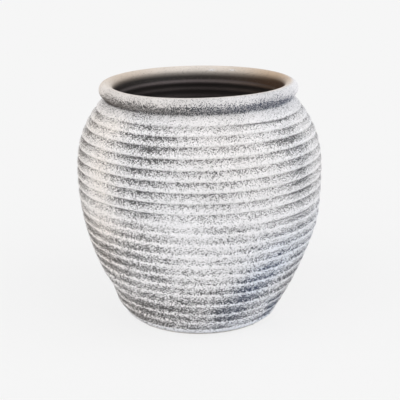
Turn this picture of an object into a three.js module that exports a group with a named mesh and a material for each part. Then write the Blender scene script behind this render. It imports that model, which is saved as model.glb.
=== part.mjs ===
// A honeypot planter: a thrown stoneware jar with ribbed sides and a rolled rim. A rubber bung closes
// its drain hole, and it stands on stick-on pads. Millimetres, +Z up, origin on the ground under the
// middle of the pot.
import * as THREE from 'three';

// Outside of the pot; heights are measured from its foot
const POT_HEIGHT = 310;
const BELLY_DIAMETER = 320;
const BELLY_HEIGHT = 190;
const FOOT_DIAMETER = 200;
const FOOT_EDGE = 2;
const MOUTH_DIAMETER = 220;
const RIM_THICKNESS = 17.6;
const RIM_OVERHANG = 7;
const LOWER_FULLNESS = 2;
const SHOULDER_FULLNESS = 2.55;

// Throwing ribs, in three zones from a plain foot band up to one wide collar under the rim. A crown is
// the place across a rib where it stands out most, from 0 at its lower groove to 1 at its upper one: the
// ribs up to the belly end in a small ledge, and those above it overhang the groove below them.
const RIB_RELIEF = 1.6;
const FOOT_BAND_TOP = 10;
const LOWER_RIBS_TOP = 69;
const LOWER_RIB_COUNT = 4;
const MIDDLE_RIBS_TOP = 168.5;
const MIDDLE_RIB_COUNT = 7;
const UPPER_RIB_COUNT = 9;
const COLLAR_HEIGHT = 13.5;
const LEDGED_CROWN = 0.75;
const OVERHUNG_CROWN = 0.25;

// Inside and underside of the pot
const WALL_THICKNESS = 11;
const FLOOR_THICKNESS = 14;
const FLOOR_COVE = 18;
const FOOT_RING_WIDTH = 24;
const FOOT_RECESS = 4;
const DRAIN_DIAMETER = 24;

// Bung
const BUNG_CLEARANCE = 0.4;
const BUNG_SEAT_GAP = 0.3;
const BUNG_TIP_SETBACK = 1;
const BUNG_TIP_TAPER = 2.5;
const BUNG_SEAL_COUNT = 2;
const BUNG_SEAL_HEIGHT = 0.9;
const BUNG_SEAL_WIDTH = 2.4;
const BUNG_FLANGE_LAP = 6;
const BUNG_FLANGE_THICKNESS = 3;
const BUNG_FLANGE_ROUND = 1.5;
const BUNG_STEM_DIAMETER = 9;
const BUNG_STEM_HEIGHT = 6;
const BUNG_KNOB_DIAMETER = 16;
const BUNG_KNOB_HEIGHT = 8;

// Pads
const PAD_COUNT = 4;
const PAD_DIAMETER = 16;
const PAD_THICKNESS = 2;
const PAD_EDGE = 0.6;
const PAD_FIRST_ANGLE = Math.PI / 4;

// How finely the curves are divided
const POT_SEGMENTS = 36;
const RIB_STEPS = 4;
const RIM_OUTER_STEPS = 7;
const RIM_INNER_STEPS = 4;
const INSIDE_STEPS = 14;
const COVE_STEPS = 4;
const BUNG_SEGMENTS = 20;
const SEAL_STEPS = 4;
const KNOB_STEPS = 7;
const PAD_SEGMENTS = 24;

// Sizes that follow from the driving ones
const bellyRadius = BELLY_DIAMETER / 2;
const footRadius = FOOT_DIAMETER / 2;
const drainRadius = DRAIN_DIAMETER / 2;
const beadRadius = RIM_THICKNESS / 2;
const beadCentre = new THREE.Vector2(MOUTH_DIAMETER / 2 + beadRadius, POT_HEIGHT - beadRadius);
const neckRadius = beadCentre.x + beadRadius - RIM_OVERHANG;
const neckAngle = -Math.acos((neckRadius - beadCentre.x) / beadRadius);
const neckHeight = beadCentre.y + beadRadius * Math.sin(neckAngle);
const collarBottom = neckHeight - COLLAR_HEIGHT;
const floorHeight = FOOT_RECESS + FLOOR_THICKNESS;

// Radius over the crowns of the ribs, at a height above the foot
function outerRadius(height) {
  if (height < BELLY_HEIGHT) {
    const down = (BELLY_HEIGHT - height) / BELLY_HEIGHT;
    return bellyRadius - (bellyRadius - footRadius) * down ** LOWER_FULLNESS;
  }
  const up = (height - BELLY_HEIGHT) / (neckHeight - BELLY_HEIGHT);
  return bellyRadius - (bellyRadius - neckRadius) * up ** SHOULDER_FULLNESS;
}

// The outside of the wall between two heights, as points of radius and height
class WallCurve extends THREE.Curve {
  constructor(bottom, top) {
    super();
    this.bottom = bottom;
    this.top = top;
  }

  getPoint(t) {
    const height = this.bottom + (this.top - this.bottom) * t;
    return new THREE.Vector2(outerRadius(height), height);
  }

  // The point at t moved square to the wall, to the right of the curve: outwards where it runs upwards
  offset(t, distance) {
    const tangent = this.getTangent(t);
    const right = new THREE.Vector2(tangent.y, -tangent.x);
    return this.getPoint(t).addScaledVector(right, distance);
  }
}

// Ribs of equal width, each a shallow arch that starts in a groove; the next zone closes the last one
function ribs(bottom, top, count, crown) {
  const zone = new WallCurve(bottom, top);
  const points = [];
  for (let step = 0; step < count * RIB_STEPS; step += 1) {
    const t = zone.getUtoTmapping(step / (count * RIB_STEPS));
    const across = (step % RIB_STEPS) / RIB_STEPS;
    const side = across < crown ? crown : crown - 1;
    points.push(zone.offset(t, -RIB_RELIEF * ((crown - across) / side) ** 2));
  }
  return points;
}

// A stretch of a circle or an ellipse
function arc(centre, radius, halfHeight, from, to, steps) {
  return new THREE.EllipseCurve(centre.x, centre.y, radius, halfHeight, from, to).getPoints(steps);
}

function rimBead() {
  const outer = arc(beadCentre, beadRadius, beadRadius, neckAngle, Math.PI / 2, RIM_OUTER_STEPS);
  const inner = arc(beadCentre, beadRadius, beadRadius, Math.PI / 2, Math.PI, RIM_INNER_STEPS);
  return outer.concat(inner.slice(1));
}

// The inner face of the wall from the neck down, and the cove that leads it into the floor
function insideFace() {
  const face = new WallCurve(neckHeight, floorHeight + FLOOR_COVE);
  const points = [];
  for (let step = 0; step < INSIDE_STEPS; step += 1) {
    points.push(face.offset(step / INSIDE_STEPS, WALL_THICKNESS));
  }
  const coveTop = face.offset(1, WALL_THICKNESS);
  const slope = face.getTangent(1);
  const cornerRadius = coveTop.x - (coveTop.y - floorHeight) * slope.x / slope.y;
  const corner = new THREE.Vector2(cornerRadius, floorHeight);
  const coveFoot = new THREE.Vector2(cornerRadius - FLOOR_COVE, floorHeight);
  const cove = new THREE.QuadraticBezierCurve(coveTop, corner, coveFoot);
  return points.concat(cove.getPoints(COVE_STEPS));
}

// Turns an outline of radius and height about the Z axis
function turned(outline, segments) {
  return new THREE.LatheGeometry(outline, segments).rotateX(Math.PI / 2);
}

function potGeometry() {
  const recessRadius = footRadius - FOOT_RING_WIDTH;
  const outline = [
    new THREE.Vector2(footRadius - FOOT_EDGE, 0),
    new THREE.Vector2(outerRadius(FOOT_EDGE), FOOT_EDGE),
    ...ribs(FOOT_BAND_TOP, LOWER_RIBS_TOP, LOWER_RIB_COUNT, LEDGED_CROWN),
    ...ribs(LOWER_RIBS_TOP, MIDDLE_RIBS_TOP, MIDDLE_RIB_COUNT, LEDGED_CROWN),
    ...ribs(MIDDLE_RIBS_TOP, collarBottom, UPPER_RIB_COUNT, OVERHUNG_CROWN),
    ...ribs(collarBottom, neckHeight, 1, OVERHUNG_CROWN),
    ...rimBead(),
    ...insideFace(),
    new THREE.Vector2(drainRadius, floorHeight),
    new THREE.Vector2(drainRadius, FOOT_RECESS),
    new THREE.Vector2(recessRadius - FOOT_RECESS, FOOT_RECESS),
    new THREE.Vector2(recessRadius, 0),
    new THREE.Vector2(footRadius - FOOT_EDGE, 0),
  ];
  return turned(outline, POT_SEGMENTS);
}

// Height 0 is the underside of the flange, which seats on the floor round the drain hole
function bungGeometry() {
  const shankRadius = drainRadius - BUNG_CLEARANCE - BUNG_SEAL_HEIGHT;
  const shankBottom = BUNG_TIP_SETBACK - FLOOR_THICKNESS;
  const taperTop = shankBottom + BUNG_TIP_TAPER;
  const flangeRadius = drainRadius + BUNG_FLANGE_LAP;
  const outline = [
    new THREE.Vector2(0, shankBottom),
    new THREE.Vector2(shankRadius - BUNG_TIP_TAPER, shankBottom),
    new THREE.Vector2(shankRadius, taperTop),
  ];
  for (let seal = 1; seal <= BUNG_SEAL_COUNT; seal += 1) {
    const height = taperTop * (1 - seal / (BUNG_SEAL_COUNT + 1));
    const centre = new THREE.Vector2(shankRadius, height);
    const quarter = Math.PI / 2;
    outline.push(...arc(centre, BUNG_SEAL_HEIGHT, BUNG_SEAL_WIDTH / 2, -quarter, quarter, SEAL_STEPS));
  }
  outline.push(
    new THREE.Vector2(shankRadius, 0),
    new THREE.Vector2(flangeRadius, 0),
    new THREE.Vector2(flangeRadius, BUNG_FLANGE_THICKNESS - BUNG_FLANGE_ROUND),
    new THREE.Vector2(flangeRadius - BUNG_FLANGE_ROUND, BUNG_FLANGE_THICKNESS),
  );
  const stemRadius = BUNG_STEM_DIAMETER / 2;
  const knobRadius = BUNG_KNOB_DIAMETER / 2;
  const knobHalf = BUNG_KNOB_HEIGHT / 2;
  const knobStart = -Math.acos(stemRadius / knobRadius);
  const stemTop = BUNG_FLANGE_THICKNESS + BUNG_STEM_HEIGHT;
  const knobCentre = new THREE.Vector2(0, stemTop - knobHalf * Math.sin(knobStart));
  outline.push(
    new THREE.Vector2(stemRadius, BUNG_FLANGE_THICKNESS),
    ...arc(knobCentre, knobRadius, knobHalf, knobStart, Math.PI / 2, KNOB_STEPS),
  );
  return turned(outline, BUNG_SEGMENTS);
}

// Height 0 is the ground
function padGeometry() {
  const padRadius = PAD_DIAMETER / 2;
  const outline = [
    new THREE.Vector2(0, 0),
    new THREE.Vector2(padRadius - PAD_EDGE, 0),
    new THREE.Vector2(padRadius, PAD_EDGE),
    new THREE.Vector2(padRadius, PAD_THICKNESS),
    new THREE.Vector2(0, PAD_THICKNESS),
  ];
  return turned(outline, PAD_SEGMENTS);
}

function piece(name, geometry, finish) {
  const mesh = new THREE.Mesh(geometry, new THREE.MeshStandardMaterial(finish));
  mesh.name = name;
  return mesh;
}

const planter = new THREE.Group();

const pot = piece('pot_body', potGeometry(), { color: 0xdcdbd8, roughness: 0.6, metalness: 0 });
pot.position.z = PAD_THICKNESS;
planter.add(pot);

const bung = piece('drain_bung', bungGeometry(), { color: 0x2c2a28, roughness: 0.75, metalness: 0 });
bung.position.z = PAD_THICKNESS + floorHeight + BUNG_SEAT_GAP;
planter.add(bung);

const padCircle = footRadius - FOOT_RING_WIDTH / 2;
for (let index = 0; index < PAD_COUNT; index += 1) {
  const angle = PAD_FIRST_ANGLE + index * 2 * Math.PI / PAD_COUNT;
  const finish = { color: 0x3a3937, roughness: 0.8, metalness: 0 };
  const pad = piece(`foot_pad_${index + 1}`, padGeometry(), finish);
  pad.position.set(padCircle * Math.cos(angle), padCircle * Math.sin(angle), 0);
  planter.add(pad);
}

export default planter;
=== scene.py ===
# A honeypot planter: a thrown stoneware jar with ribbed sides, a rolled rim and a speckled glaze, with the
# rubber bung of its drain hole and its stick-on pads. Metres, +Z up, standing on the ground at the origin.
import math
from collections import namedtuple

import bpy
import numpy as np
from mathutils import Matrix, Vector


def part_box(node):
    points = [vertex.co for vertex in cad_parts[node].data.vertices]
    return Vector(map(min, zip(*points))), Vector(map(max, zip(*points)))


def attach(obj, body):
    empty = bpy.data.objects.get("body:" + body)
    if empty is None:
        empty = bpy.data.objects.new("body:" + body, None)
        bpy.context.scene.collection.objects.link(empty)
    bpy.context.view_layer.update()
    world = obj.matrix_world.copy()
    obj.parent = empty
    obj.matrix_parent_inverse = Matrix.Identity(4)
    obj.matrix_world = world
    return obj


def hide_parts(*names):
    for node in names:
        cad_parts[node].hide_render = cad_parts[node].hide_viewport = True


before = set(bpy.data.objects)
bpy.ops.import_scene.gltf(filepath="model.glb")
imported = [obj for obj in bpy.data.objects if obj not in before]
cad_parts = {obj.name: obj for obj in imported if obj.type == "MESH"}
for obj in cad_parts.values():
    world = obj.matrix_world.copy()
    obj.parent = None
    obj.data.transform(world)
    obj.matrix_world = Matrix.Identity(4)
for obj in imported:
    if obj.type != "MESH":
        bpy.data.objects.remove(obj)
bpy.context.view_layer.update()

# Kinds of places on the pot. A turn is in degrees round it, from 0 at its front to the right. A level is a
# height on the wall, or degrees round the section of the rolled rim from its outer side over the top. Sides,
# swells and patches fade out softly, with wide and tall as half sizes. A ramp runs from where a thing starts
# to where all of it is there. Most is how much of a thing that is. Phases are in radians.
Side = namedtuple("Side", "turn wide most", defaults=(1,))
Ramp = namedtuple("Ramp", "start end most", defaults=(1,))
Swell = namedtuple("Swell", "turn level wide tall out up", defaults=(0, 0))
Patch = namedtuple("Patch", "turn level wide tall slip cool", defaults=(0, 0))

# Seeded unevenness: the most waves round the pot, the most radians to a metre up it, how much there is of it,
# and how much more at the back
Noise = namedtuple("Noise", "seed round up most at_back", defaults=(0,))
NOISE_WAVES = 28

# Pot outside; heights are measured from its foot
pot_low, pot_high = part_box("pot_body")
FOOT_LEVEL = pot_low.z
POT_HEIGHT = pot_high.z - pot_low.z
BELLY_RADIUS = pot_high.x
BELLY_HEIGHT = 0.190
FOOT_RADIUS = 0.100
FOOT_EDGE = 0.002
MOUTH_RADIUS = 0.110
BEAD_RADIUS = 0.0088
RIM_OVERHANG = 0.007
LOWER_FULLNESS = 2
SHOULDER_FULLNESS = 2.55

# Sizes that follow: the middle of the rolled rim's section, and the neck where the wall meets it
bead_middle = MOUTH_RADIUS + BEAD_RADIUS
bead_height = POT_HEIGHT - BEAD_RADIUS
neck_radius = bead_middle + BEAD_RADIUS - RIM_OVERHANG
neck_angle = -math.acos((neck_radius - bead_middle) / BEAD_RADIUS)
neck_height = bead_height + BEAD_RADIUS * math.sin(neck_angle)

# Throwing ribs, in zones of equal ribs from the foot up. The crown is where a rib stands out most, from 0 at
# its lower groove to 1 at its upper one: up to the belly the ribs end in a small ledge, above it they
# overhang, and between them two ribs meet in a ridge.
Zone = namedtuple("Zone", "top count crown")
RIB_RELIEF = 0.0016
FOOT_BAND = 0.0085
LAST_LEDGE = 0.1565
BELLY_RIDGE = 0.168
COLLAR_BOTTOM = 0.2793
ROUND = 0.5
LEDGED = 0.82
OVERHUNG = 0.16
RIDGE_ABOVE = 1
RIDGE_BELOW = 0
RIB_ZONES = (
    Zone(top=FOOT_BAND, count=1, crown=ROUND),
    Zone(top=0.0375, count=2, crown=LEDGED),
    Zone(top=0.0705, count=2, crown=LEDGED),
    Zone(top=LAST_LEDGE, count=6, crown=LEDGED),
    Zone(top=BELLY_RIDGE, count=1, crown=RIDGE_ABOVE),
    Zone(top=0.1797, count=1, crown=RIDGE_BELOW),
    Zone(top=0.206, count=2, crown=OVERHUNG),
    Zone(top=0.258, count=4, crown=OVERHUNG),
    Zone(top=COLLAR_BOTTOM, count=2, crown=OVERHUNG),
    Zone(top=neck_height, count=1, crown=OVERHUNG),
)

# Marks of the hand: the wall runs out of round above the foot, the lower ribs lean to one side, the ribs vary
# in depth and the rim dips
OUT_OF_ROUND = Ramp(start=0, end=0.05, most=0.0004)
OVAL_PHASE = 0.7
RIB_LEAN = 0.0007
LEAN_BELOW = Ramp(start=FOOT_EDGE, end=0.03)
LEAN_ABOVE = Ramp(start=0.17, end=0.09)
RIB_VARIATION = Noise(seed=3, round=5, up=90, most=0.18)
RIM_DIP = Side(turn=-38, wide=36, most=0.0012)

# Places where the wall swells out or, below zero, is pressed in, and where the ribs run higher or lower
SWELLS = (
    Swell(turn=-85, level=0.044, wide=50, tall=0.014, out=-0.0024),
    Swell(turn=-85, level=0.016, wide=50, tall=0.012, out=0.0020),
    Swell(turn=85, level=0.128, wide=50, tall=0.028, out=0.0022),
    Swell(turn=55, level=0.004, wide=45, tall=0.010, out=0.0012),
    Swell(turn=-50, level=0.022, wide=30, tall=0.010, up=0.0030),
    Swell(turn=45, level=0.022, wide=30, tall=0.010, up=0.0020),
    Swell(turn=45, level=0.118, wide=25, tall=0.016, up=0.0016),
    Swell(turn=45, level=0.242, wide=25, tall=0.018, up=0.0010),
    Swell(turn=45, level=0.278, wide=22, tall=0.008, up=-0.0016),
)

# Pot inside and underside, with throwing rings on the inner wall and on the floor
WALL = 0.011
FLOOR_HEIGHT = 0.018
FLOOR_COVE = 0.018
RING_PITCH = 0.0122
RING_RELIEF = 0.0009
RING_WANDER = Noise(seed=5, round=2, up=30, most=0.6)
FIRST_RING = 0.2885
RINGS_BELOW_RIM = Ramp(start=bead_height, end=neck_height - 0.005)
RINGS_ABOVE_FLOOR = Ramp(start=FLOOR_HEIGHT, end=0.05)
FLOOR_RING_PITCH = 0.009
FLOOR_RING_RELIEF = 0.0004
FLOOR_RING_FADE = 0.01
DRAIN_RADIUS = 0.012
DRAIN_EDGE = 0.0015
BUNG_SEAT_RADIUS = 0.024
FOOT_RECESS = 0.004
FOOT_RING_WIDTH = 0.024

# How finely the pot is divided
COLUMNS = 320
ROWS_PER_RIB = 12
BEAD_ROWS = 30
LIP_ROWS = 8
INSIDE_ROWS = 120
COVE_ROWS = 10
FLOOR_ROWS = 40
EDGE_ROWS = 5


# Values over the pot

def smoothstep(low, high, value):
    """From 0 at the first value to 1 at the second, easing at both ends"""
    share = np.clip((value - low) / (high - low), 0, 1)
    return share * share * (3 - 2 * share)


def ramped(ramp, value):
    """How much of a ramp there is at each value"""
    return ramp.most * smoothstep(ramp.start, ramp.end, value)


def raised(value, share):
    """A value brought up towards 1 by a share of what it lacks"""
    return value + (1 - value) * share


def turned_away(turn, centre):
    """Degrees round the pot from a place"""
    return (np.degrees(turn) - centre + 180) % 360 - 180


def at_side(side, turn):
    """How much there is of a thing that one side of the pot has"""
    return side.most * np.exp(-(turned_away(turn, side.turn) / side.wide) ** 2)


def place_share(place, turn, level):
    """How much a place of soft outline counts at each point"""
    away = turned_away(turn, place.turn) / place.wide
    return np.exp(-away ** 2 - ((level - place.level) / place.tall) ** 2)


def unevenness(noise, turn, height):
    """Smooth seeded noise over the wall, which meets itself after a full turn"""
    random = np.random.default_rng(noise.seed)
    total = 0
    for _ in range(NOISE_WAVES):
        across = random.integers(-noise.round, noise.round + 1)
        upwards = random.uniform(-noise.up, noise.up)
        total = total + np.cos(across * turn + upwards * height + random.uniform(0, 2 * math.pi))
    back = (1 - np.cos(turn)) / 2
    return (noise.most + noise.at_back * back) * total / math.sqrt(NOISE_WAVES / 2)


# Pot shape. Each stretch of its outline gives the radius, the height and the look by row and turn.

def outer_radius(height):
    """Radius over the crowns of the ribs"""
    down = np.clip((BELLY_HEIGHT - height) / BELLY_HEIGHT, 0, None)
    up = np.clip((height - BELLY_HEIGHT) / (neck_height - BELLY_HEIGHT), 0, None)
    lower = (BELLY_RADIUS - FOOT_RADIUS) * down ** LOWER_FULLNESS
    return BELLY_RADIUS - lower - (BELLY_RADIUS - neck_radius) * up ** SHOULDER_FULLNESS


def wall_normal(height):
    """The wall's outward direction, as its parts along the radius and upwards"""
    step = 0.0001
    slope = (outer_radius(height + step) - outer_radius(height - step)) / (2 * step)
    length = np.sqrt(1 + slope ** 2)
    return 1 / length, -slope / length


def eased(count):
    """Shares from 0 up to 1 that crowd at both ends"""
    return (1 - np.cos(np.pi * np.arange(count) / count)) / 2


def rib_rows():
    """Each row's height, its place across its rib from the lower groove to the upper, and the rib's crown"""
    half = eased(ROWS_PER_RIB // 2)
    bottom = FOOT_EDGE
    rows = []
    for zone in RIB_ZONES:
        pitch = (zone.top - bottom) / zone.count
        across = np.concatenate((zone.crown * half, zone.crown + (1 - zone.crown) * half))
        if zone.crown in (RIDGE_ABOVE, RIDGE_BELOW):
            across = eased(ROWS_PER_RIB)
        for index in range(zone.count):
            heights = bottom + pitch * (index + across)
            rows.append((heights, across, np.full_like(across, zone.crown)))
        bottom = zone.top
    return np.concatenate(rows, axis=1)[..., None]


def rim_dip(turn, height):
    """How much lower the rim runs on the side where it dips"""
    return at_side(RIM_DIP, turn) * smoothstep(COLLAR_BOTTOM, bead_height, height)


def outside(turn):
    """The ribbed wall, from the foot's edge up to the neck"""
    row, across, crown = rib_rows()
    height = row - RIB_LEAN * ramped(LEAN_BELOW, row) * ramped(LEAN_ABOVE, row) * np.sin(turn)
    out = 0
    for swell in SWELLS:
        share = place_share(swell, turn, row)
        height = height + swell.up * share
        out = out + swell.out * share
    depth = RIB_RELIEF * (1 + unevenness(RIB_VARIATION, turn, row))
    side = np.where(across < crown, crown, 1 - crown)
    inset = depth * ((across - crown) / side) ** 2
    inset = inset + ramped(OUT_OF_ROUND, row) * (1 + np.cos(2 * turn + OVAL_PHASE)) / 2
    along_radius, upwards = wall_normal(height)
    radius = outer_radius(height) + out - inset * along_radius
    look = outside_look(turn, height, row, across, crown)
    return radius, height - inset * upwards - rim_dip(turn, height), look


def bead(turn):
    """The rolled rim, from the neck over its top to its inner side"""
    angle = np.linspace(neck_angle, math.pi, BEAD_ROWS, endpoint=False)[:, None] + np.zeros_like(turn)
    radius = bead_middle + BEAD_RADIUS * np.cos(angle)
    height = bead_height + BEAD_RADIUS * np.sin(angle)
    return radius, height - rim_dip(turn, height), bead_look(turn, np.degrees(angle), height)


def curve(guides, share):
    """Points on a smooth curve from the first guide point to the last, drawn towards those between them"""
    while len(guides) > 1:
        guides = [first + (second - first) * share for first, second in zip(guides, guides[1:])]
    return guides[0]


def inner_face():
    """Points of the inner face of the wall, square to the outer one, from the neck to the cove"""
    level = np.linspace(neck_height, FLOOR_HEIGHT + FLOOR_COVE, INSIDE_ROWS)
    along_radius, upwards = wall_normal(level)
    return np.stack((outer_radius(level) - WALL * along_radius, level - WALL * upwards), -1)


def cove_guides(face):
    """Where the cove leaves the wall, the corner that it rounds off and where it meets the floor"""
    top = face[-1]
    run = top - face[-2]
    corner = top + run * (FLOOR_HEIGHT - top[1]) / run[1]
    return top, corner, corner - np.array((FLOOR_COVE, 0))


def lip_and_inside(turn):
    """From the rim's inner side over a soft lip onto the inner wall, with its throwing rings, and the cove"""
    face = inner_face()
    start = np.array((MOUTH_RADIUS, bead_height))
    reach = start[1] - face[0, 1]
    along_radius, upwards = wall_normal(neck_height)
    below_start = start - np.array((0, reach / 3))
    above_face = face[0] - reach / 2 * np.array((upwards, -along_radius))
    lip_share = np.linspace(0, 1, LIP_ROWS, endpoint=False)[:, None]
    lip = curve((start, below_start, above_face, face[0]), lip_share)
    cove = curve(cove_guides(face), np.linspace(0, 1, COVE_ROWS)[1:, None])
    radius, height = np.concatenate((lip, face, cove)).T[..., None]
    fade = ramped(RINGS_BELOW_RIM, height) * ramped(RINGS_ABOVE_FLOOR, height)
    phase = 2 * math.pi * (height - FIRST_RING) / RING_PITCH + unevenness(RING_WANDER, turn, height)
    ring = fade * (1 + np.cos(phase)) / 2
    look = inside_look(turn, height, ring)
    return radius - RING_RELIEF * ring, height - rim_dip(turn, height), look


def floor_and_foot(turn):
    """From the cove over the floor, down the drain hole and across the underside to the foot's edge"""
    cove_radius = cove_guides(inner_face())[-1][0]
    hole_edge = DRAIN_RADIUS + DRAIN_EDGE
    floor = np.linspace(cove_radius, hole_edge, FLOOR_ROWS, endpoint=False)[1:]
    fade = smoothstep(BUNG_SEAT_RADIUS, BUNG_SEAT_RADIUS + FLOOR_RING_FADE, floor)
    fade = fade * smoothstep(cove_radius, cove_radius - FLOOR_RING_FADE, floor)
    dips = FLOOR_RING_RELIEF * fade * (1 - np.cos(2 * math.pi * floor / FLOOR_RING_PITCH)) / 2
    quarter = np.linspace(0, math.pi / 2, EDGE_ROWS)
    hole = DRAIN_RADIUS + DRAIN_EDGE * (1 - np.sin(quarter))
    rounding = DRAIN_EDGE * (1 - np.cos(quarter))
    recess_radius = FOOT_RADIUS - FOOT_RING_WIDTH
    ceiling = np.linspace(hole_edge, recess_radius - FOOT_RECESS, EDGE_ROWS)[1:]
    share = np.linspace(0, 1, EDGE_ROWS)[1:]
    side = recess_radius - FOOT_RECESS * (1 - share)
    ring = np.linspace(recess_radius, FOOT_RADIUS - FOOT_EDGE, EDGE_ROWS)[1:]
    stretches = (
        (floor, FLOOR_HEIGHT - dips),
        (hole, FLOOR_HEIGHT - rounding),
        (hole[::-1], FOOT_RECESS + rounding[::-1]),
        (ceiling, np.full_like(ceiling, FOOT_RECESS)),
        (side, FOOT_RECESS * (1 + np.cos(math.pi * share)) / 2),
        (ring, np.zeros_like(ring)),
    )
    radius, height = (np.concatenate(parts)[:, None] + np.zeros_like(turn) for parts in zip(*stretches))
    glazed = np.zeros_like(radius)
    glazed[:len(floor)] = 1
    return radius, height, floor_look(glazed)


# Pot glaze. A look is how much of the glaze slip hides, which share of that is an even wash and not specks,
# which share of the specks is coarse, the colours of the glaze and the slip, and the gloss. In places the
# slip and the colours also carry painted light and shade.
Look = namedtuple("Look", "slip even coarse glaze stain gloss")

# Colours, as 8-bit sRGB
WHITE_GLAZE = (239, 238, 240)
WARM_GLAZE = (242, 234, 227)
COOL_GLAZE = (226, 231, 240)
RIM_GLAZE = (228, 220, 212)
RIM_TAN = (178, 146, 110)
# Painted light on the inner ring crests, pale and on the right brown
INSIDE_CREST_LIGHT = (172, 160, 161)
INSIDE_BROWN_CREST_LIGHT = (118, 95, 78)
DEEP_GLAZE = (67, 64, 63)
# The lip: dark glaze with painted shade, grey and on the right brown
LIP_GLAZE_AND_SHADE = (38, 34, 33)
LIP_BROWN_AND_SHADE = (70, 46, 26)
BARE_CLAY = (222, 215, 206)
SLIP = (80, 80, 81)
WARM_SLIP = (88, 80, 74)
COOL_SLIP = (60, 69, 90)
# Dark brown for the groove under the rim, partly glaze and partly painted shadow
GROOVE_BROWN_AND_SHADOW = (54, 42, 33)

# Places where the spray left more or less slip showing, and where the glaze runs cool or, below zero, warm
PATCHES = (
    Patch(turn=-35, level=0.286, wide=16, tall=0.008, slip=0.6),
    Patch(turn=-45, level=0.272, wide=9, tall=0.012, slip=-0.3, cool=-0.3),
    Patch(turn=-23, level=0.259, wide=14, tall=0.018, slip=1.3),
    Patch(turn=45, level=0.255, wide=10, tall=0.010, slip=1.1),
    Patch(turn=40, level=0.273, wide=24, tall=0.005, slip=-0.4),
    Patch(turn=-28, level=0.208, wide=9, tall=0.050, slip=0.55),
    Patch(turn=-36, level=0.185, wide=7, tall=0.018, slip=0.4),
    Patch(turn=51, level=0.218, wide=8, tall=0.050, slip=0.8, cool=0.1),
    Patch(turn=57, level=0.190, wide=7, tall=0.014, slip=0.3),
    Patch(turn=-71, level=0.215, wide=8, tall=0.060, slip=1.0, cool=-0.3),
    Patch(turn=25, level=0.205, wide=14, tall=0.050, slip=-0.4),
    Patch(turn=-12, level=0.178, wide=10, tall=0.025, slip=-0.3),
    Patch(turn=0, level=0.178, wide=60, tall=0.014, slip=-0.2),
    Patch(turn=-5, level=0.150, wide=6, tall=0.012, slip=-0.3),
    Patch(turn=15, level=0.155, wide=6, tall=0.012, slip=0.4),
    Patch(turn=36, level=0.155, wide=10, tall=0.018, slip=-0.2),
    Patch(turn=-50, level=0.215, wide=11, tall=0.060, slip=-0.6, cool=-0.6),
    Patch(turn=68, level=0.230, wide=10, tall=0.060, slip=-0.4, cool=-0.2),
    Patch(turn=-56, level=0.103, wide=15, tall=0.034, slip=0.85, cool=-0.5),
    Patch(turn=-35, level=0.112, wide=16, tall=0.034, slip=0.42),
    Patch(turn=-2, level=0.115, wide=14, tall=0.036, slip=-0.6),
    Patch(turn=60, level=0.083, wide=8, tall=0.028, slip=0.5),
    Patch(turn=59, level=0.158, wide=7, tall=0.016, slip=0.35),
    Patch(turn=18, level=0.036, wide=11, tall=0.018, slip=0.8, cool=0.5),
    Patch(turn=27, level=0.066, wide=12, tall=0.018, slip=0.6, cool=0.8),
    Patch(turn=34, level=0.090, wide=12, tall=0.015, slip=0.4, cool=0.8),
    Patch(turn=40, level=0.115, wide=20, tall=0.030, cool=0.6),
    Patch(turn=-3, level=0.020, wide=9, tall=0.020, slip=-0.2),
    Patch(turn=-20, level=0.045, wide=12, tall=0.010, slip=0.3),
    Patch(turn=-57, level=0.014, wide=26, tall=0.008, slip=0.8),
    Patch(turn=-40, level=0.036, wide=20, tall=0.014, slip=0.45),
    Patch(turn=-1, level=0.035, wide=8, tall=0.014, slip=-0.3),
    Patch(turn=25, level=0.014, wide=30, tall=0.006, slip=-0.25, cool=0.3),
    Patch(turn=51, level=0.012, wide=10, tall=0.008, slip=0.7, cool=0.2),
    Patch(turn=-70, level=0.130, wide=8, tall=0.034, slip=0.8, cool=-0.3),
    Patch(turn=-8, level=0.066, wide=8, tall=0.012, slip=-0.25),
    Patch(turn=-50, level=0.145, wide=25, tall=0.020, cool=-0.35),
    Patch(turn=-65, level=0.268, wide=15, tall=0.015, cool=-0.4),
    Patch(turn=62, level=0.268, wide=16, tall=0.020, cool=-0.3),
    Patch(turn=-55, level=0.025, wide=25, tall=0.025, cool=-0.3),
    Patch(turn=-71, level=0.016, wide=10, tall=0.008, slip=1.5),
    Patch(turn=74, level=0.022, wide=12, tall=0.030, slip=-0.7),
    Patch(turn=45, level=0.038, wide=8, tall=0.012, slip=-0.3, cool=0.3),
    Patch(turn=56, level=0.022, wide=8, tall=0.016, slip=1.3, cool=0.8),
)

# The same on the rolled rim, and two painted highlights, small glints of light, on the back of it
RIM_PATCHES = (
    Patch(turn=-55, level=-40, wide=32, tall=45, slip=0.55),
    Patch(turn=-4, level=10, wide=9, tall=30, slip=-0.16),
    Patch(turn=36, level=25, wide=10, tall=35, slip=-0.16),
    Patch(turn=38, level=-50, wide=32, tall=26, slip=0.3),
)
RIM_PAINTED_HIGHLIGHTS = (
    Patch(turn=170, level=152, wide=2.2, tall=7),
    Patch(turn=155, level=146, wide=1.8, tall=6),
)

# Thin dark lines of slip that run along the ribs, under the collar and round the belly
SLIP_LINES = (
    Patch(turn=42, level=COLLAR_BOTTOM, wide=20, tall=0.0006, slip=0.9),
    Patch(turn=45, level=(LAST_LEDGE + BELLY_RIDGE) / 2, wide=18, tall=0.0009, slip=0.8),
)

# Parts of the wall by height, and the right of the pot's front by turn
COLLAR = Ramp(start=0.276, end=0.282)
NECK = Ramp(start=neck_height - 0.0024, end=neck_height - 0.0002)
BAND_AT_FOOT = Ramp(start=FOOT_BAND + 0.0003, end=FOOT_BAND - 0.0007)
RIGHT_START = Ramp(start=-20, end=30)
RIGHT_END = Ramp(start=170, end=110)
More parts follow.
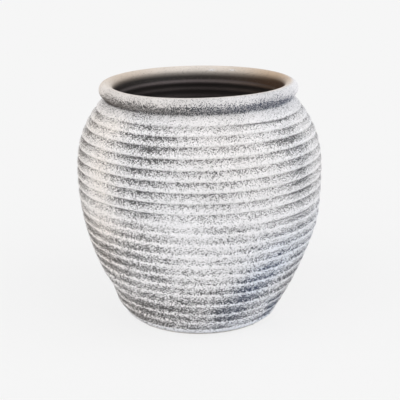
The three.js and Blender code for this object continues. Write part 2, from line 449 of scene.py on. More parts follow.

# How the spray and the tint vary over the wall. Warm on the left and cool on the right, the tint is partly
# the glaze's own and partly painted light colour.
BROAD_SPRAY = Noise(seed=12, round=6, up=70, most=0.04, at_back=0.14)
FINE_SPRAY = Noise(seed=13, round=22, up=220, most=0.06)
SPRAY_ON_GROUND = 0.10
SPRAY_ON_FLANK = 0.40
TINT_VARIATION = Noise(seed=11, round=4, up=40, most=0.1, at_back=0.2)
COOL_TINT_AND_LIGHT_TO_RIGHT = 0.1
WARM_TINT_AND_LIGHT_TO_LEFT = Ramp(start=-20, end=-60, most=0.12)
# The cool of the painted shadow under the rim, on the right
NECK_SHADOW_TINT = 0.8
FOOT_TINT = 0.4
RIM_TINT_PHASE = 0.2

# Slip on the ground of the wall, which is bare at the ledges
MOST_SLIP = 0.82
GROUND_SLIP = 0.05
LOW_GROUND_SLIP = Ramp(start=0.10, end=0.04, most=0.17)
COLLAR_GROUND_SLIP = 0.07
ABOVE_RIDGE = 0.005
ABOVE_RIDGE_SLIP = 0.18
BARE_FLANK = Ramp(start=0.3, end=0)
LESS_BARE_LEDGES = Ramp(start=0.078, end=0.058, most=0.6)

# Slip in the band on each rib's flank and at the foot, painted shade in the grooves, and slip with painted
# shadow under the rim
BAND_SLIP = 0.46
OVERHUNG_BAND_SLIP = 0.14
SHOULDER_BAND_LOSS = Ramp(start=0.250, end=0.264, most=0.12)
COLLAR_BAND_LOSS = 0.36
RIDGE_REACH = 0.012
RIDGE_LOSS = 0.35
GROOVE_SHADE = Ramp(start=0.05, end=0, most=0.20)
# Slip under the rim, with painted shadow over it
NECK_SLIP_AND_SHADOW = 0.6
FOOT_LOSS = 0.75

# Where across an overhung rib its slip starts and is thickest. For a ledged rib: where its ledge is barest,
# how far above that slip is thickest, and how abruptly it thins out below and above that place.
OVERHUNG_START = 0.12
OVERHUNG_THICKEST = 0.95
LedgedFlank = namedtuple("LedgedFlank", "ledge thickest below above")
LEFT_FLANK = LedgedFlank(ledge=0.88, thickest=0.44, below=3.5, above=2.3)
RIGHT_FLANK = LedgedFlank(ledge=0.81, thickest=0.14, below=2.0, above=1.4)

# How even the slip is and where its specks are coarse
EVEN_SHARE = 0.32
LESS_EVEN_AT_SIDES = Ramp(start=12, end=35, most=0.20)
LESS_EVEN_BELOW = Ramp(start=0.205, end=0.160, most=0.7)
COLLAR_EVEN_SHARE = 0.2
COARSE_SPECKS = Ramp(start=0.165, end=0.110)

# Slip on the rolled rim, thicker towards its underside and thin at its two ends as the front shows them, and
# thinner on the right end, which is painted light there
RIM_SPRAY = Noise(seed=14, round=14, up=40, most=0.15)
RIM_SLIP = 0.32
RIM_SLIP_BELOW = (
    Ramp(start=50, end=5, most=0.18),
    Ramp(start=10, end=-35, most=0.40),
    Ramp(start=0, end=-30, most=0.06),
)
RIM_ENDS = Ramp(start=52, end=76)
RIM_BACK = Ramp(start=100, end=140, most=0.5)
RIM_BACK_FACE = Ramp(start=60, end=20)
RIM_END_LOSS = 0.80
RIM_RIGHT_END_LIT_LOSS = 0.15
RIM_EVEN_SHARE = 0.8
RIM_LESS_EVEN = Ramp(start=40, end=0, most=0.35)

# The plain glaze over the rim, and the dark brown in the groove under its left end, partly glaze gathered
# there and partly painted shadow
PLAIN_TOP = Ramp(start=60, end=105)
PLAIN_LEFT = Side(turn=-97, wide=22)
PLAIN_LOSS = 0.8
RIM_COOL_TINT_AND_LIGHT_TO_RIGHT = 0.45
RIM_WARMTH = 0.35
BROWN_RIGHT = Side(turn=112, wide=40)
TAN_LEFT = Side(turn=-115, wide=38, most=0.5)
TAN_SHARE = 0.82
CREST_LEVEL = 78
CREST_HALF = 14
CREST_TAN = Ramp(start=105, end=165, most=0.55)
RIM_TOP = 90
SHADOWED_BROWN_GROOVE = Side(turn=-76, wide=26)
RIM_UNDERSIDE = Ramp(start=-8, end=-42)

# The dark glaze of the lip, with painted shade over it: how far under the middle of the rim its edge runs,
# where it runs higher, and how far it fades up and down
LIP_DROP = 0.0013
LIP_RISES = (Side(turn=95, wide=28, most=0.0045), Side(turn=-120, wide=35, most=0.0013))
LIP_FADE_UP = 0.0062
LIP_FADE_DOWN = 0.0040

# The inside, with painted light on the crests of the upper rings that gives way to painted shade downwards
# and on the left, and the floor
WALL_BELOW_LIP = Ramp(start=bead_height - 0.008, end=bead_height - 0.0105)
LIT_UPWARDS = Ramp(start=0.235, end=0.288)
LIT_BETWEEN_RINGS = 0.15
INSIDE_BROWN_RIGHT = Side(turn=115, wide=45)
INSIDE_SHADED_LEFT = Side(turn=-120, wide=36, most=0.6)
INSIDE_SHADES = Noise(seed=15, round=6, up=60, most=0.06)
INSIDE_SLIP = 0.08
INSIDE_GLOSS = 1
FLOOR_SLIP = 0.12
FLOOR_GLOSS = 0.8
PLAIN_EVEN_SHARE = 0.3


def linear(colour):
    """An 8-bit sRGB colour as linear red, green and blue"""
    share = np.array(colour) / 255
    return np.where(share <= 0.04045, share / 12.92, ((share + 0.055) / 1.055) ** 2.4)


def mixed(first, second, share):
    """Two linear colours mixed by an array of shares"""
    return first + (second - first) * np.asarray(share)[..., None]


def tints(cool):
    """The glaze and slip colours from warm at -1 to cool at 1"""
    cold = np.clip(cool, 0, 1)
    warm = np.clip(-cool, 0, 1)
    glaze = mixed(mixed(linear(WHITE_GLAZE), linear(WARM_GLAZE), warm), linear(COOL_GLAZE), cold)
    slip = mixed(mixed(linear(SLIP), linear(WARM_SLIP), warm), linear(COOL_SLIP), cold)
    return glaze, slip


def rim_tint_and_light(turn):
    """How cool slip is at the rim, from warm on the left to cool on the right, partly painted light colour"""
    return np.sin(turn + RIM_TINT_PHASE)


def right_share(turn):
    """1 on the right of the pot's front, fading out on the left and towards the back"""
    away = turned_away(turn, 0)
    return ramped(RIGHT_START, away) * ramped(RIGHT_END, away)


def overhung_flank(across):
    """Slip over a rib above the belly: none on the edge that overhangs, most under the next rib"""
    return np.clip((across - OVERHUNG_START) / (OVERHUNG_THICKEST - OVERHUNG_START), 0, 1)


def ledged_flank(turn, across, crown):
    """Slip over a rib below the belly: none on the ledge, most half way up or, on the right, just above it"""
    share = right_share(turn)
    pairs = zip(LEFT_FLANK, RIGHT_FLANK)
    flank = LedgedFlank(*(left + (right - left) * share for left, right in pairs))
    shift = 1 - flank.ledge
    place = np.where(crown < RIDGE_ABOVE, (across + shift) % 1, shift + across * (1 - shift))
    below = place < flank.thickest
    reach = np.where(below, flank.thickest, 1 - flank.thickest)
    power = np.where(below, flank.below, flank.above)
    return 1 - np.abs((place - flank.thickest) / reach) ** power


def rib_slip(turn, height, across, crown):
    """Slip over the ribs, with painted shade in the grooves above the belly, and how far each point is in the
    band on its rib's flank
    """
    overhung = np.where(crown < ROUND, 1, 0)
    collar = ramped(COLLAR, height)
    ridge = np.exp(-((height - BELLY_RIDGE) / RIDGE_REACH) ** 2)
    flank = np.where(overhung, overhung_flank(across), ledged_flank(turn, across, crown))
    flank = flank * (1 - RIDGE_LOSS * ridge)
    band = BAND_SLIP + OVERHUNG_BAND_SLIP * overhung - ramped(SHOULDER_BAND_LOSS, height)
    band = band - COLLAR_BAND_LOSS * collar
    above_ridge = np.exp(-((height - BELLY_RIDGE - ABOVE_RIDGE) / ABOVE_RIDGE) ** 2)
    ground = GROUND_SLIP + ramped(LOW_GROUND_SLIP, height) + COLLAR_GROUND_SLIP * collar
    ground = ground + ABOVE_RIDGE_SLIP * overhung * above_ridge
    bare = (1 - overhung) * (1 - ramped(LESS_BARE_LEDGES, height) * (1 - right_share(turn)))
    ground = ground * (1 - bare * ramped(BARE_FLANK, flank))
    # Painted shade in the grooves under the overhanging ribs, laid on as slip
    groove = overhung * (1 - ridge) * ramped(GROOVE_SHADE, np.minimum(across, 1 - across))
    return ground + band * flank + groove, flank


def spray(turn, height):
    """How much more slip the spray left showing, and how cool the glaze runs, partly painted light colour
    from warm on the left to cool on the right
    """
    more = unevenness(BROAD_SPRAY, turn, height) + unevenness(FINE_SPRAY, turn, height)
    cool = COOL_TINT_AND_LIGHT_TO_RIGHT * np.sin(turn) - ramped(WARM_TINT_AND_LIGHT_TO_LEFT, turned_away(turn, 0))
    cool = cool + unevenness(TINT_VARIATION, turn, height)
    for patch in PATCHES:
        share = place_share(patch, turn, height)
        more = more + patch.slip * share
        cool = cool + patch.cool * share
    return more, cool


def browned_and_shadowed(look, share):
    """A look with a share of the dark brown under the rim, partly gathered glaze and partly painted shadow"""
    stain = mixed(look.stain, linear(GROOVE_BROWN_AND_SHADOW), share)
    return look._replace(slip=raised(look.slip, share), even=raised(look.even, share), stain=stain)


def outside_look(turn, height, row, across, crown):
    """The speckled wall. The lines of slip follow its rows, at their heights before the hand moved them."""
    more, cool = spray(turn, height)
    slip, flank = rib_slip(turn, height, across, crown)
    line = sum(mark.slip * place_share(mark, turn, row) for mark in SLIP_LINES)
    neck = ramped(NECK, height)
    foot = ramped(BAND_AT_FOOT, height)
    # Under the rim the wall gets slip with painted shadow, whose tint is cool on the right
    slip = (slip + line) * (1 - FOOT_LOSS * foot) + NECK_SLIP_AND_SHADOW * neck
    slip = slip + more * (SPRAY_ON_GROUND + SPRAY_ON_FLANK * flank)
    slip = np.clip(slip, 0, MOST_SLIP)
    even = EVEN_SHARE - ramped(LESS_EVEN_AT_SIDES, np.abs(turned_away(turn, 0)))
    even = even * (1 - ramped(LESS_EVEN_BELOW, height)) + COLLAR_EVEN_SHARE * ramped(COLLAR, height)
    cool = cool + NECK_SHADOW_TINT * neck * np.clip(rim_tint_and_light(turn), 0, 1) + FOOT_TINT * foot
    glaze, stain = tints(cool)
    coarse = ramped(COARSE_SPECKS, height)
    look = Look(slip, raised(even, line), coarse, glaze, stain, np.zeros_like(slip))
    # Brown glaze and painted shadow in the groove under the rim's left end
    return browned_and_shadowed(look, neck * at_side(SHADOWED_BROWN_GROOVE, turn))


def rim_colour(turn, height):
    """The plain glaze of the rim, tan on the right, and dark glaze with painted shade where it runs over the
    lip into the pot
    """
    brown = at_side(BROWN_RIGHT, turn)
    tan = brown + at_side(TAN_LEFT, turn)
    lit = mixed(linear(RIM_GLAZE), linear(RIM_TAN), TAN_SHARE * tan)
    edge = bead_height - LIP_DROP + sum(at_side(rise, turn) for rise in LIP_RISES)
    inside = smoothstep(edge + LIP_FADE_UP, edge - LIP_FADE_DOWN, height)
    lip = mixed(linear(LIP_GLAZE_AND_SHADE), linear(LIP_BROWN_AND_SHADE), brown)
    return mixed(lit, lip, inside)


def rim_slip(turn, degrees):
    """Slip on the rolled rim before the spray varies it"""
    away = np.abs(turned_away(turn, 0))
    ends = ramped(RIM_ENDS, away) - ramped(RIM_BACK, away) * ramped(RIM_BACK_FACE, degrees)
    slip = RIM_SLIP + sum(ramped(ramp, degrees) for ramp in RIM_SLIP_BELOW)
    # The thinner slip on the right end is painted light there
    return slip * (1 - (RIM_END_LOSS + RIM_RIGHT_END_LIT_LOSS * np.sin(turn)) * ends)


def rim_glaze(turn, degrees, height, plain):
    """The glaze of the rolled rim: like the wall's outside, plain over its top, with two painted highlights
    at the back
    """
    # Warm on the left and cool on the right, partly painted light colour
    outer = tints(RIM_COOL_TINT_AND_LIGHT_TO_RIGHT * np.sin(turn) - RIM_WARMTH)[0]
    glaze = mixed(outer, rim_colour(turn, np.where(degrees > RIM_TOP, height, POT_HEIGHT)), plain)
    crest = np.exp(-((degrees - CREST_LEVEL) / CREST_HALF) ** 2)
    crest = crest * ramped(CREST_TAN, np.abs(turned_away(turn, 0)))
    glaze = mixed(glaze, linear(RIM_TAN), crest)
    # Painted highlights: spots of white where light glints on the back of the rim
    for painted_highlight in RIM_PAINTED_HIGHLIGHTS:
        glaze = mixed(glaze, linear(WHITE_GLAZE), place_share(painted_highlight, turn, degrees))
    return glaze


def bead_look(turn, degrees, height):
    """The rolled rim, speckled outside and plain over its top, by degrees round its section"""
    plain = np.maximum(ramped(PLAIN_TOP, degrees), at_side(PLAIN_LEFT, turn))
    slip = rim_slip(turn, degrees) * (1 + unevenness(RIM_SPRAY, turn, height)) * (1 - PLAIN_LOSS * plain)
    slip = slip + sum(patch.slip * place_share(patch, turn, degrees) for patch in RIM_PATCHES)
    slip = np.clip(slip, 0, MOST_SLIP)
    even = RIM_EVEN_SHARE - ramped(RIM_LESS_EVEN, degrees)
    glaze = rim_glaze(turn, degrees, height, plain)
    stain = tints(rim_tint_and_light(turn))[1]
    look = Look(slip, even, np.zeros_like(slip), glaze, stain, plain)
    return browned_and_shadowed(look, ramped(RIM_UNDERSIDE, degrees) * at_side(SHADOWED_BROWN_GROOVE, turn))


def plain_look(glaze, slip, gloss):
    """Plain glaze with a few specks of slip"""
    shape = glaze.shape[:-1]
    stain = np.broadcast_to(linear(WARM_SLIP), glaze.shape)
    even = np.full(shape, PLAIN_EVEN_SHARE)
    return Look(np.full(shape, slip), even, np.zeros(shape), glaze, stain, gloss + np.zeros(shape))


def inside_look(turn, height, ring):
    """The lip and the inner wall, with painted light on the upper ring crests and painted shade that darkens
    it downwards and on the left
    """
    crest = mixed(linear(INSIDE_CREST_LIGHT), linear(INSIDE_BROWN_CREST_LIGHT), at_side(INSIDE_BROWN_RIGHT, turn))
    # Painted light on the ring crests, a little between them, fading to painted shade downwards and on the
    # left
    pale = raised(LIT_BETWEEN_RINGS, ring ** 2) * ramped(LIT_UPWARDS, height)
    pale = pale * (1 - at_side(INSIDE_SHADED_LEFT, turn))
    shade = 1 + unevenness(INSIDE_SHADES, turn, height)
    wall = mixed(linear(DEEP_GLAZE), crest, pale) * shade[..., None]
    glaze = mixed(rim_colour(turn, height), wall, ramped(WALL_BELOW_LIP, height))
    return plain_look(glaze, INSIDE_SLIP, INSIDE_GLOSS)


def floor_look(glazed):
    """Dark glaze on the floor, and bare clay from the drain hole on"""
    glaze = mixed(linear(BARE_CLAY), linear(DEEP_GLAZE), glazed)
    return plain_look(glaze, FLOOR_SLIP, FLOOR_GLOSS * glazed)


# Meshes

def add_piece(name, points, faces, material):
    """A smooth-shaded object in the scene"""
    mesh = bpy.data.meshes.new(name)
    mesh.from_pydata(points.tolist(), [], faces)
    mesh.validate()
    mesh.shade_smooth()
    mesh.materials.append(material)
    piece = bpy.data.objects.new(name, mesh)
    bpy.context.scene.collection.objects.link(piece)
    return piece


def grid_faces(rows, columns, closed):
    """Quads over a grid whose columns meet after a full turn, and whose rows do too if it is closed"""
    row = np.arange(rows if closed else rows - 1)[:, None] * columns
    above = (row + columns) % (rows * columns)
    column = np.arange(columns)[None, :]
    beside = (column + 1) % columns
    corners = (row + column, row + beside, above + beside, above + column)
    return np.stack(corners, -1).reshape(-1, 4).tolist()


def pot_piece(material):
    """The whole pot as one closed skin, with its look at every point"""
    turn = np.linspace(0, 2 * math.pi, COLUMNS, endpoint=False)[None, :]
    stretches = (outside, bead, lip_and_inside, floor_and_foot)
    radii, heights, looks = zip(*(stretch(turn) for stretch in stretches))
    radius = np.concatenate(radii)
    height = np.concatenate(heights)
    look = Look(*(np.concatenate(values) for values in zip(*looks)))
    wash = look.slip * look.even
    specks = (look.slip - wash) / (1 - wash)
    points = np.stack((radius * np.sin(turn), -radius * np.cos(turn), height + FOOT_LEVEL), -1)
    faces = grid_faces(len(radius), COLUMNS, closed=True)
    pot = add_piece("speckled_pot", points.reshape(-1, 3), faces, material)
    for name, values in (("wash", wash), ("specks", specks), ("coarse", look.coarse), ("gloss", look.gloss)):
        pot.data.attributes.new(name, "FLOAT", "POINT").data.foreach_set("value", values.ravel())
    for name, values in (("glaze", look.glaze), ("stain", look.stain)):
        colours = np.concatenate((values, np.ones((*values.shape[:2], 1))), -1)
        pot.data.attributes.new(name, "FLOAT_COLOR", "POINT").data.foreach_set("color", colours.ravel())
    return pot


def turned_piece(name, outline, columns, centre, material):
    """A piece turned about an upright axis from points of radius and height that start and end on the axis"""
    outline = np.array(outline)
    turn = np.linspace(0, 2 * math.pi, columns, endpoint=False)
    radius, height = outline[1:-1, 0, None], outline[1:-1, 1, None]
    rings = np.stack((radius * np.cos(turn), radius * np.sin(turn), height + 0 * turn), -1).reshape(-1, 3)
    poles = [(0, 0, outline[0, 1]), (0, 0, outline[-1, 1])]
    points = np.concatenate((rings, poles)) + np.array(centre)
    faces = grid_faces(len(radius), columns, closed=False)
    last = len(rings) - columns
    for column in range(columns):
        beside = (column + 1) % columns
        faces.append((beside, column, len(rings)))
        faces.append((last + column, last + beside, len(rings) + 1))
    return add_piece(name, points, faces, material)


# Materials. Grains and textures are given by the metre.
Texture = namedtuple("Texture", "scale detail roughness")


def opaque(colour):
    """An 8-bit sRGB colour as a shader takes it"""
    return (*linear(colour), 1)


class Graph:
    """The nodes of one material, with its shader"""

    def __init__(self, name):
        self.material = bpy.data.materials.new(name)
        self.material.use_nodes = True
        self.nodes = self.material.node_tree.nodes
        self.links = self.material.node_tree.links
        self.shader = self.nodes["Principled BSDF"]

    def put(self, socket, value):
        """Link another socket to this one, or set its value"""
        if isinstance(value, bpy.types.NodeSocket):
            self.links.new(value, socket)
        else:
            socket.default_value = value

    def shade(self, name, value):
        """Put a value on the shader"""
        self.put(self.shader.inputs[name], value)

    def attribute(self, name, output):
        """What the mesh carries at each point under a name"""
        node = self.nodes.new("ShaderNodeAttribute")
        node.attribute_name = name
        return node.outputs[output]

    def place(self):
        """The point of the object that is shaded"""
        return self.nodes.new("ShaderNodeTexCoord").outputs["Object"]

    def noise(self, texture):
        """Smooth noise about a half"""
        node = self.nodes.new("ShaderNodeTexNoise")
        self.put(node.inputs["Vector"], self.place())
        self.put(node.inputs["Scale"], texture.scale)
        self.put(node.inputs["Detail"], texture.detail)
        self.put(node.inputs["Roughness"], texture.roughness)
        return node.outputs[0]

    def grains(self, scale):
        """Two even random values from 0 to 1 for each grain"""
        node = self.nodes.new("ShaderNodeTexVoronoi")
        self.put(node.inputs["Vector"], self.place())
        self.put(node.inputs["Scale"], scale)
        parts = self.nodes.new("ShaderNodeSeparateColor")
        self.links.new(node.outputs["Color"], parts.inputs[0])
        return parts.outputs[0], parts.outputs[1]

    def math(self, operation, *values, clamp=False):
        """The result of one sum, kept from 0 to 1 if it is clamped"""
        node = self.nodes.new("ShaderNodeMath")
        node.operation = operation
        node.use_clamp = clamp
        for socket, value in zip(node.inputs, values):
            self.put(socket, value)
        return node.outputs[0]

    def choose(self, share, first, second):
        """A number from the first to the second by a share"""
        node = self.nodes.new("ShaderNodeMix")
        self.put(node.inputs[0], share)
        self.put(node.inputs[2], first)
        self.put(node.inputs[3], second)
        return node.outputs[0]

    def mix(self, share, first, second, blend="MIX"):
        """Two colours blended by a share"""
        node = self.nodes.new("ShaderNodeMix")
        node.data_type = "RGBA"
        node.blend_type = blend
        self.put(node.inputs["Factor"], share)
        colours = [socket for socket in node.inputs if socket.type == "RGBA"]
        self.put(colours[0], first)
        self.put(colours[1], second)
        return next(socket for socket in node.outputs if socket.type == "RGBA")

    def bump(self, height, distance, strength):
        """The normal of a surface that is raised by a height"""
        node = self.nodes.new("ShaderNodeBump")
        self.put(node.inputs["Height"], height)
        self.put(node.inputs["Distance"], distance)
        self.put(node.inputs["Strength"], strength)
        return node.outputs[0]


# Stoneware. A grain is a speck of slip where its random value is below the density of specks, which clumps of
# grains shift a little. The glaze between them is cloudy and grainy, and smoother where it is glossy.
FINE_GRAIN = 1150
COARSE_GRAIN = 870
CLUMPS = Texture(scale=190, detail=2, roughness=0.5)
CLUMPING = 0.08
CRISPNESS = 4.5
CLOUDS = Texture(scale=38, detail=3, roughness=0.55)
CLOUD_CONTRAST = 0.16
CLOUD_DARKEST = 0.92
GLAZE_GRAIN = 0.24
GRIT = Texture(scale=1500, detail=2, roughness=0.6)
GRIT_SHARE = 0.5
GRIT_HEIGHT = 0.0004
MATT_GRIT = 0.35
GLOSSY_GRIT = 0.07
MATT_ROUGHNESS = 0.66
GLOSSY_ROUGHNESS = 0.42
SLIP_ROUGHNESS = 0.08
GLAZE_SPECULAR = 0.3


def stoneware():
    """White glaze over a dark slip, which shows through as an even wash and as specks"""
    graph = Graph("speckled_stoneware")
    density = graph.attribute("specks", "Fac")
    gloss = graph.attribute("gloss", "Fac")
    clumps = graph.noise(CLUMPS)
    small, pale = graph.grains(FINE_GRAIN)
    large, chance = graph.grains(COARSE_GRAIN)
    chosen = graph.math("LESS_THAN", chance, graph.attribute("coarse", "Fac"))
    speckle = graph.math("MULTIPLY_ADD", clumps, CLUMPING, graph.choose(chosen, small, large))
    beyond = graph.math("SUBTRACT", density, speckle)
    # Half dark where a grain's value is just the density, with the mean of the clumps, a half, made good
    middle = 0.5 + CRISPNESS * CLUMPING / 2
    specks = graph.math("MULTIPLY_ADD", beyond, CRISPNESS, middle, clamp=True)
    cover = graph.choose(specks, graph.attribute("wash", "Fac"), 1.0)
    cloud = graph.math("MULTIPLY_ADD", graph.noise(CLOUDS), CLOUD_CONTRAST, CLOUD_DARKEST)
    grain = graph.math("MULTIPLY", graph.math("SUBTRACT", 0.5, pale), graph.choose(gloss, GLAZE_GRAIN, 0.0))
    cloud = graph.math("ADD", cloud, grain)
    glaze = graph.mix(1.0, graph.attribute("glaze", "Color"), cloud, "MULTIPLY")
    graph.shade("Base Color", graph.mix(cover, glaze, graph.attribute("stain", "Color")))
    graph.shade("Specular IOR Level", GLAZE_SPECULAR)
    rough = graph.choose(gloss, MATT_ROUGHNESS, GLOSSY_ROUGHNESS)
    graph.shade("Roughness", graph.math("MULTIPLY_ADD", cover, SLIP_ROUGHNESS, rough))
    grit = graph.math("MULTIPLY_ADD", graph.noise(GRIT), GRIT_SHARE, clumps)
    graph.shade("Normal", graph.bump(grit, GRIT_HEIGHT, graph.choose(gloss, MATT_GRIT, GLOSSY_GRIT)))
    return graph.material


# Rubber, with its colours as 8-bit sRGB
BUNG_RUBBER = (52, 49, 46)
BUNG_DUST = (84, 80, 75)
PAD_RUBBER = (66, 64, 61)
PAD_DUST = (96, 92, 86)
BLOOM = Texture(scale=220, detail=3, roughness=0.6)
BLOOM_CONTRAST = 1.6
BLOOM_OFFSET = -0.5
BLOOM_ROUGHNESS = 0.15
RUBBER_ROUGHNESS = 0.62
PORES = Texture(scale=2600, detail=2, roughness=0.5)
PORE_HEIGHT = 0.0001
PORE_STRENGTH = 0.3


def rubber(name, colour, dust):
    """Moulded rubber with a faint bloom"""
    graph = Graph(name)
    bloom = graph.math("MULTIPLY_ADD", graph.noise(BLOOM), BLOOM_CONTRAST, BLOOM_OFFSET, clamp=True)
    graph.shade("Base Color", graph.mix(bloom, opaque(colour), opaque(dust)))
    graph.shade("Roughness", graph.math("MULTIPLY_ADD", bloom, BLOOM_ROUGHNESS, RUBBER_ROUGHNESS))
    graph.shade("Normal", graph.bump(graph.noise(PORES), PORE_HEIGHT, PORE_STRENGTH))
    return graph.material


# Bung and pads, turned to fit their own boxes
BUNG_CLEARANCE = 0.0004
BUNG_SHANK = 0.013
BUNG_TAPER = 0.0025
BUNG_SEAL_HEIGHT = 0.0009
BUNG_SEAL_WIDTH = 0.0024
BUNG_SEALS = 2
BUNG_EDGE = 0.0004
BUNG_FLANGE = 0.003
BUNG_FLANGE_ROUND = 0.0014
BUNG_STEM_RADIUS = 0.0045
BUNG_STEM_HEIGHT = 0.006
BUNG_KNOB_RADIUS = 0.008
BUNG_FILLET = 0.0015
BUNG_COLUMNS = 96
PAD_EDGE = 0.0005
PAD_COLUMNS = 64


def arc(centre, across, up, start, end, points):
    """Points on an ellipse's stretch, angles in degrees"""
    angle = np.radians(np.linspace(start, end, points))
    return [(centre[0] + across * math.cos(a), centre[1] + up * math.sin(a)) for a in angle]


def rounded(centre, radius, start, end, points):
    """The same on a circle"""
    return arc(centre, radius, radius, start, end, points)


def bung_piece(material):
    """From the tapered shank over its seals, the flange and the stem to the top of the knob"""
    low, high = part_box("drain_bung")
    shank = DRAIN_RADIUS - BUNG_CLEARANCE - BUNG_SEAL_HEIGHT
    flange = low.z + BUNG_SHANK
    top = flange + BUNG_FLANGE
    outline = [(0, low.z), (shank - 2 * BUNG_TAPER, low.z)]
    outline += rounded((shank - BUNG_TAPER, low.z + BUNG_TAPER), BUNG_TAPER, -90, 0, points=8)
    for seal in range(BUNG_SEALS, 0, -1):
        level = flange - (BUNG_SHANK - BUNG_TAPER) * seal / (BUNG_SEALS + 1)
        outline += arc((shank, level), BUNG_SEAL_HEIGHT, BUNG_SEAL_WIDTH / 2, -90, 90, points=9)
    outline += [(shank, flange - BUNG_EDGE), (shank + BUNG_EDGE, flange)]
    outline += rounded((high.x - BUNG_EDGE, flange + BUNG_EDGE), BUNG_EDGE, -90, 0, points=4)
    shoulder = (high.x - BUNG_FLANGE_ROUND, top - BUNG_FLANGE_ROUND)
    outline += rounded(shoulder, BUNG_FLANGE_ROUND, 0, 90, points=8)
    corner = (BUNG_STEM_RADIUS + BUNG_FILLET, top + BUNG_FILLET)
    outline += rounded(corner, BUNG_FILLET, 270, 180, points=6)
    start = -math.degrees(math.acos(BUNG_STEM_RADIUS / BUNG_KNOB_RADIUS))
    knob = (high.z - top - BUNG_STEM_HEIGHT) / (1 - math.sin(math.radians(start)))
    outline += arc((0, high.z - knob), BUNG_KNOB_RADIUS, knob, start, 90, points=22)
    return turned_piece("rubber_bung", outline, BUNG_COLUMNS, (0, 0, 0), material)


def pad_piece(node, material):
    """A flat round pad with soft edges"""
    low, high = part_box(node)
    middle = (low + high) / 2
    radius = (high.x - low.x) / 2
    outline = [(0, low.z), (radius / 2, low.z)]
    outline += rounded((radius - PAD_EDGE, low.z + PAD_EDGE), PAD_EDGE, -90, 0, points=5)
    outline += rounded((radius - PAD_EDGE, high.z - PAD_EDGE), PAD_EDGE, 0, 90, points=5)
    outline += [(radius / 2, high.z), (0, high.z)]
    name = node.replace("foot", "rubber")
    return turned_piece(name, outline, PAD_COLUMNS, (middle.x, middle.y, 0), material)


pot = pot_piece(stoneware())
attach(pot, "pot")
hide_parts("pot_body")

bung = bung_piece(rubber("bung_rubber", BUNG_RUBBER, BUNG_DUST))
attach(bung, "bung")
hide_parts("drain_bung")

pad_material = rubber("pad_rubber", PAD_RUBBER, PAD_DUST)
for node in sorted(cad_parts):
    if node.startswith("foot_pad"):
        pad = pad_piece(node, pad_material)
        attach(pad, "pot")
        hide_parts(node)

# Stage, with the floor's and the background's colours as 8-bit sRGB and the lamps' angles in degrees
FLOOR_SIZE = 30.0
FLOOR_ALBEDO = (245, 245, 245)
FLOOR_ROUGHNESS = 0.9
BACKGROUND = (246, 246, 246)
SHADOW_SHARE = 0.15
WORLD_LIGHT = 0.6
Lamp = namedtuple("Lamp", "name turn elevation spread strength colour")
LAMPS = (
    Lamp("key", turn=60, elevation=42, spread=60, strength=1.05, colour=(0.985, 0.99, 1.0)),
    Lamp("fill", turn=-58, elevation=38, spread=60, strength=0.95, colour=(1.0, 0.99, 0.975)),
)


def seen_directly(nodes, links):
    """1 on rays that show the background itself: the camera's, and those in reflections and glass"""
    path = nodes.new("ShaderNodeLightPath")
    total = path.outputs["Is Camera Ray"]
    for name in ("Is Glossy Ray", "Is Transmission Ray"):
        node = nodes.new("ShaderNodeMath")
        node.operation = "MAXIMUM"
        links.new(total, node.inputs[0])
        links.new(path.outputs[name], node.inputs[1])
        total = node.outputs[0]
    return total


def mix_shaders(nodes, links, share, first, second, output):
    """Put two shaders, mixed by a share, on the output of that name"""
    mix = nodes.new("ShaderNodeMixShader")
    links.new(share, mix.inputs[0])
    links.new(first.outputs[0], mix.inputs[1])
    links.new(second.outputs[0], mix.inputs[2])
    links.new(mix.outputs[0], nodes[output].inputs["Surface"])


def set_world():
    """Soft light from all round, with the plain background where it is seen"""
    world = bpy.data.worlds.new("studio")
    bpy.context.scene.world = world
    world.use_nodes = True
    nodes, links = world.node_tree.nodes, world.node_tree.links
    light = nodes["Background"]
    light.inputs["Color"].default_value = (1, 1, 1, 1)
    light.inputs["Strength"].default_value = WORLD_LIGHT
    shown = nodes.new("ShaderNodeBackground")
    shown.inputs["Color"].default_value = opaque(BACKGROUND)
    shown.inputs["Strength"].default_value = 1
    mix_shaders(nodes, links, seen_directly(nodes, links), light, shown, "World Output")


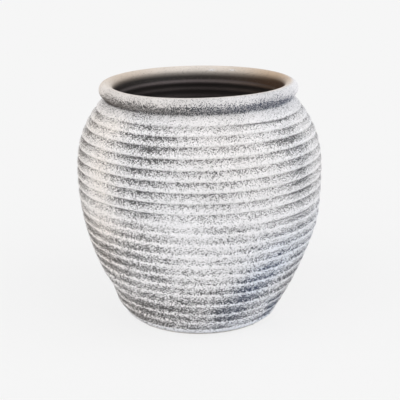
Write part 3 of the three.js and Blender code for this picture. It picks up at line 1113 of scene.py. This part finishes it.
def add_floor():
    """A wide pale floor, which shows the background and a share of the shadow on it"""
    half = FLOOR_SIZE / 2
    corners = np.array([(-half, -half, 0), (half, -half, 0), (half, half, 0), (-half, half, 0)])
    graph = Graph("floor")
    nodes, links = graph.nodes, graph.links
    graph.shade("Base Color", opaque(FLOOR_ALBEDO))
    graph.shade("Roughness", FLOOR_ROUGHNESS)
    graph.shade("Specular IOR Level", 0.0)
    shown = nodes.new("ShaderNodeEmission")
    shown.inputs["Color"].default_value = opaque(BACKGROUND)
    share = graph.math("MULTIPLY", seen_directly(nodes, links), 1 - SHADOW_SHARE)
    mix_shaders(nodes, links, share, graph.shader, shown, "Material Output")
    floor = add_piece("floor", corners, [(0, 1, 2, 3)], graph.material)


def direction(turn, elevation):
    """From the pot outwards, in degrees: turn 0 is its front and elevation 0 is level"""
    across, up = math.radians(turn), math.radians(elevation)
    return Vector((math.sin(across) * math.cos(up), -math.cos(across) * math.cos(up), math.sin(up)))


def add_lamp(lamp):
    """A wide soft lamp far away"""
    light = bpy.data.lights.new(lamp.name, "SUN")
    light.energy = lamp.strength
    light.angle = math.radians(lamp.spread)
    light.color = lamp.colour
    holder = bpy.data.objects.new(lamp.name, light)
    holder.rotation_euler = direction(lamp.turn, lamp.elevation).to_track_quat("Z", "Y").to_euler()
    bpy.context.scene.collection.objects.link(holder)


# Camera at the photograph's viewing angle, with its angles in degrees and its lens and sensor in millimetres
CAMERA_TARGET = Vector((0.0003, 0, FOOT_LEVEL + 0.1490))
CAMERA_DISTANCE = 1.2
CAMERA_ELEVATION = 17.4
CAMERA_ROLL = -0.7
CAMERA_LENS = 80.9
CAMERA_SENSOR = 36


def add_camera():
    """The scene's camera, which looks at its target from the front"""
    camera = bpy.data.cameras.new("camera")
    camera.lens = CAMERA_LENS
    camera.sensor_width = CAMERA_SENSOR
    holder = bpy.data.objects.new("camera", camera)
    back = direction(0, CAMERA_ELEVATION)
    level = back.to_track_quat("Z", "Y").to_matrix().to_4x4()
    roll = Matrix.Rotation(math.radians(CAMERA_ROLL), 4, "Z")
    holder.matrix_world = Matrix.Translation(CAMERA_TARGET + back * CAMERA_DISTANCE) @ level @ roll
    bpy.context.scene.collection.objects.link(holder)
    bpy.context.scene.camera = holder


set_world()
add_floor()
for lamp in LAMPS:
    add_lamp(lamp)
add_camera()
bpy.context.scene.view_settings.view_transform = "Standard"
